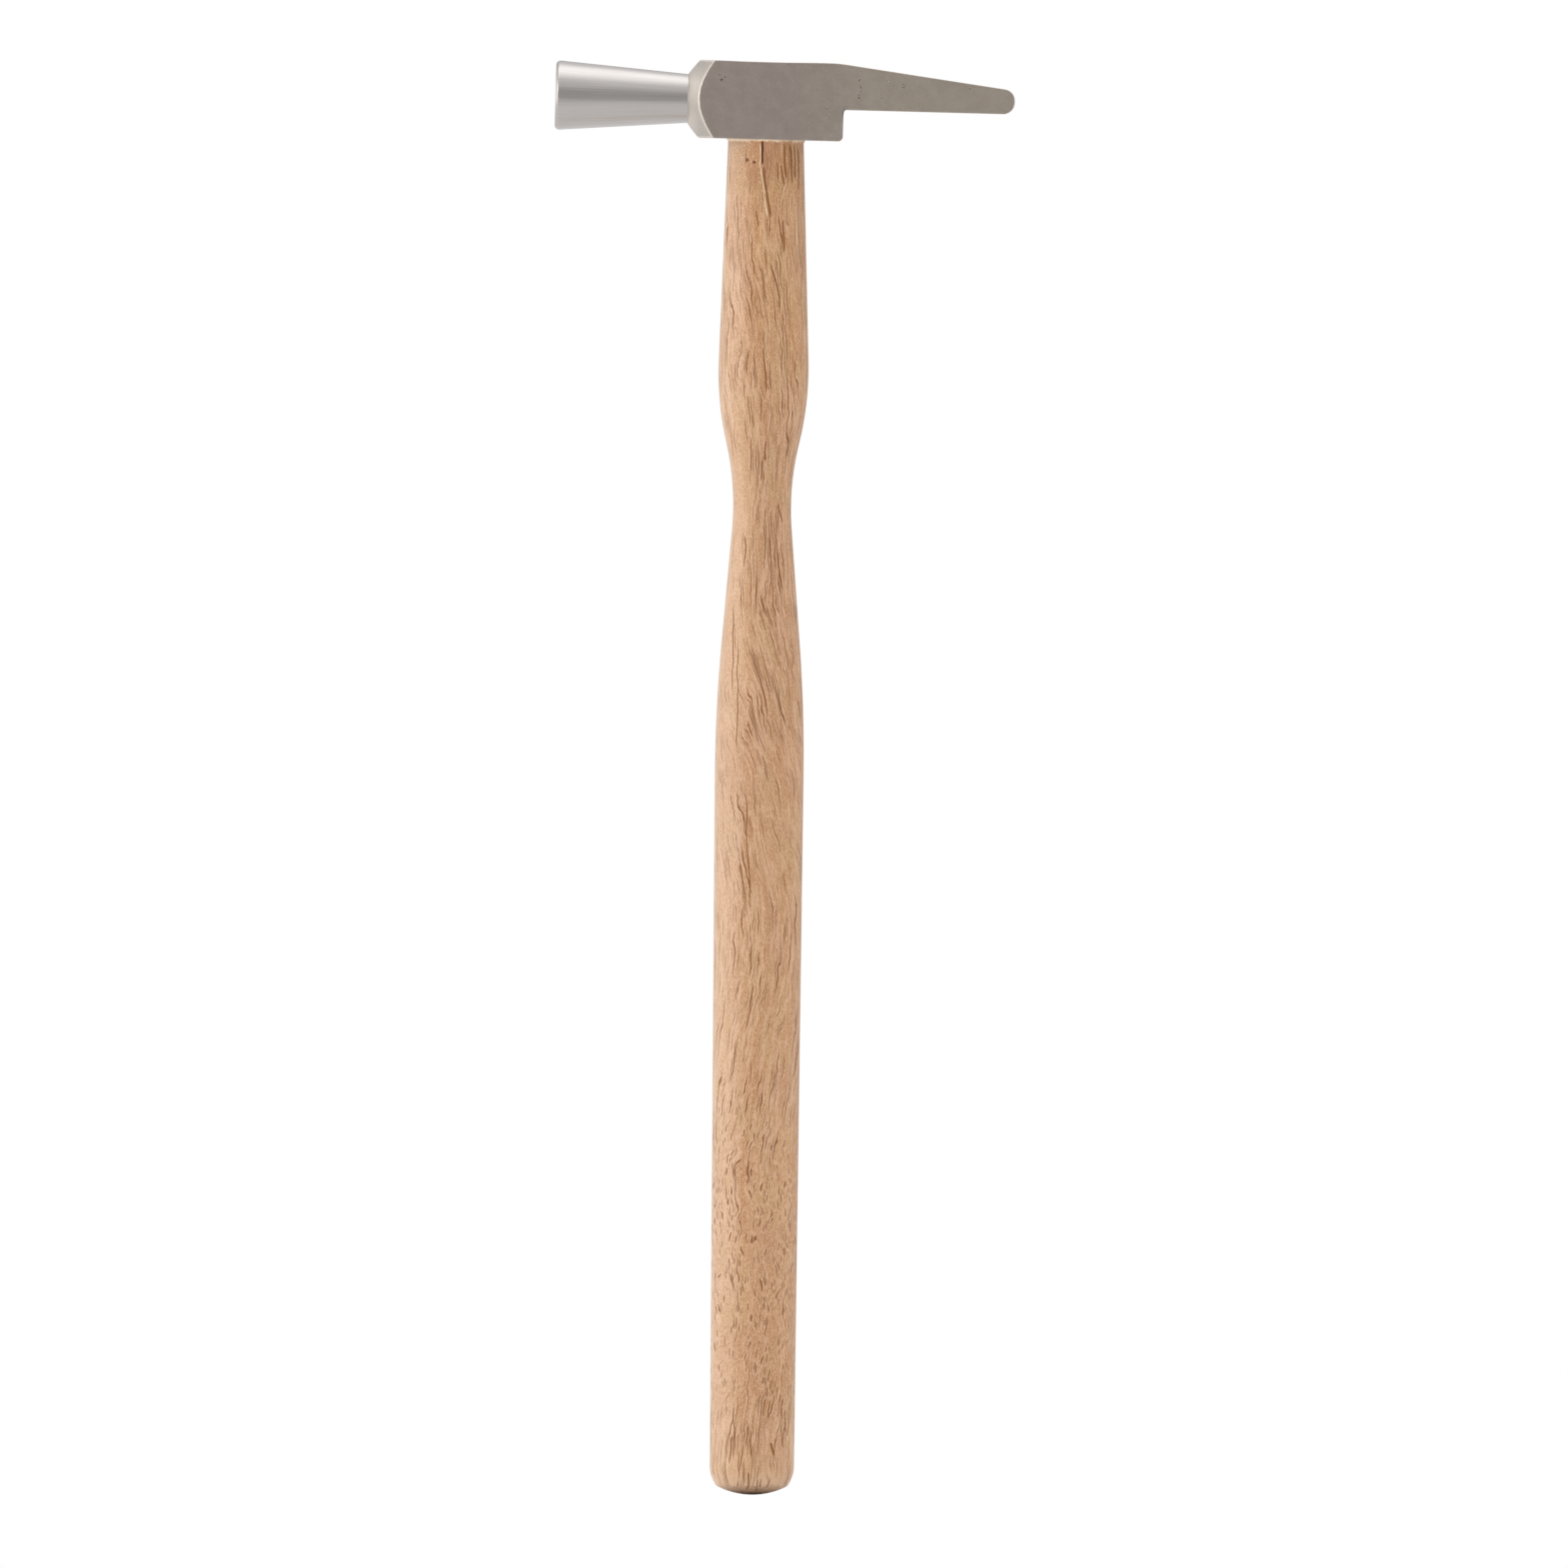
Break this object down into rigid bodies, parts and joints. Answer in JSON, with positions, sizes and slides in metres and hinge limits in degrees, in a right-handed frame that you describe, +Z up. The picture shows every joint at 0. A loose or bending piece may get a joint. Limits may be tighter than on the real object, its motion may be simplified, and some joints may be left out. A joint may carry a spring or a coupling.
{
  "type": "watchmaker hammer",
  "caption": "Light watchmaker hammer: steel head with a turned striking face and a cross peen, wedged on a slim turned hardwood handle with a swell and a waist.",
  "frame": {"origin": "centre of the small flat in the middle of the butt, on the handle's axis", "axes": "+Z up the handle's axis towards the head, +X towards the cross peen, -X towards the striking face, +Y and -Y out of the two cheeks"},
  "size_m": [0.0738, 0.0144, 0.2299],
  "materials": {
    "head_steel": "turned striking end, satin plated cheeks",
    "handle_wood": "turned and sanded, thin matt lacquer",
    "wedge_wood": "sawn end grain",
    "wedge_steel": "ground flush"
  },
  "bodies": {
    "root": {"hammer_head": "head_steel", "handle": "handle_wood", "wooden_wedge": "wedge_wood", "steel_wedge": "wedge_steel"}
  },
  "joints": []
}
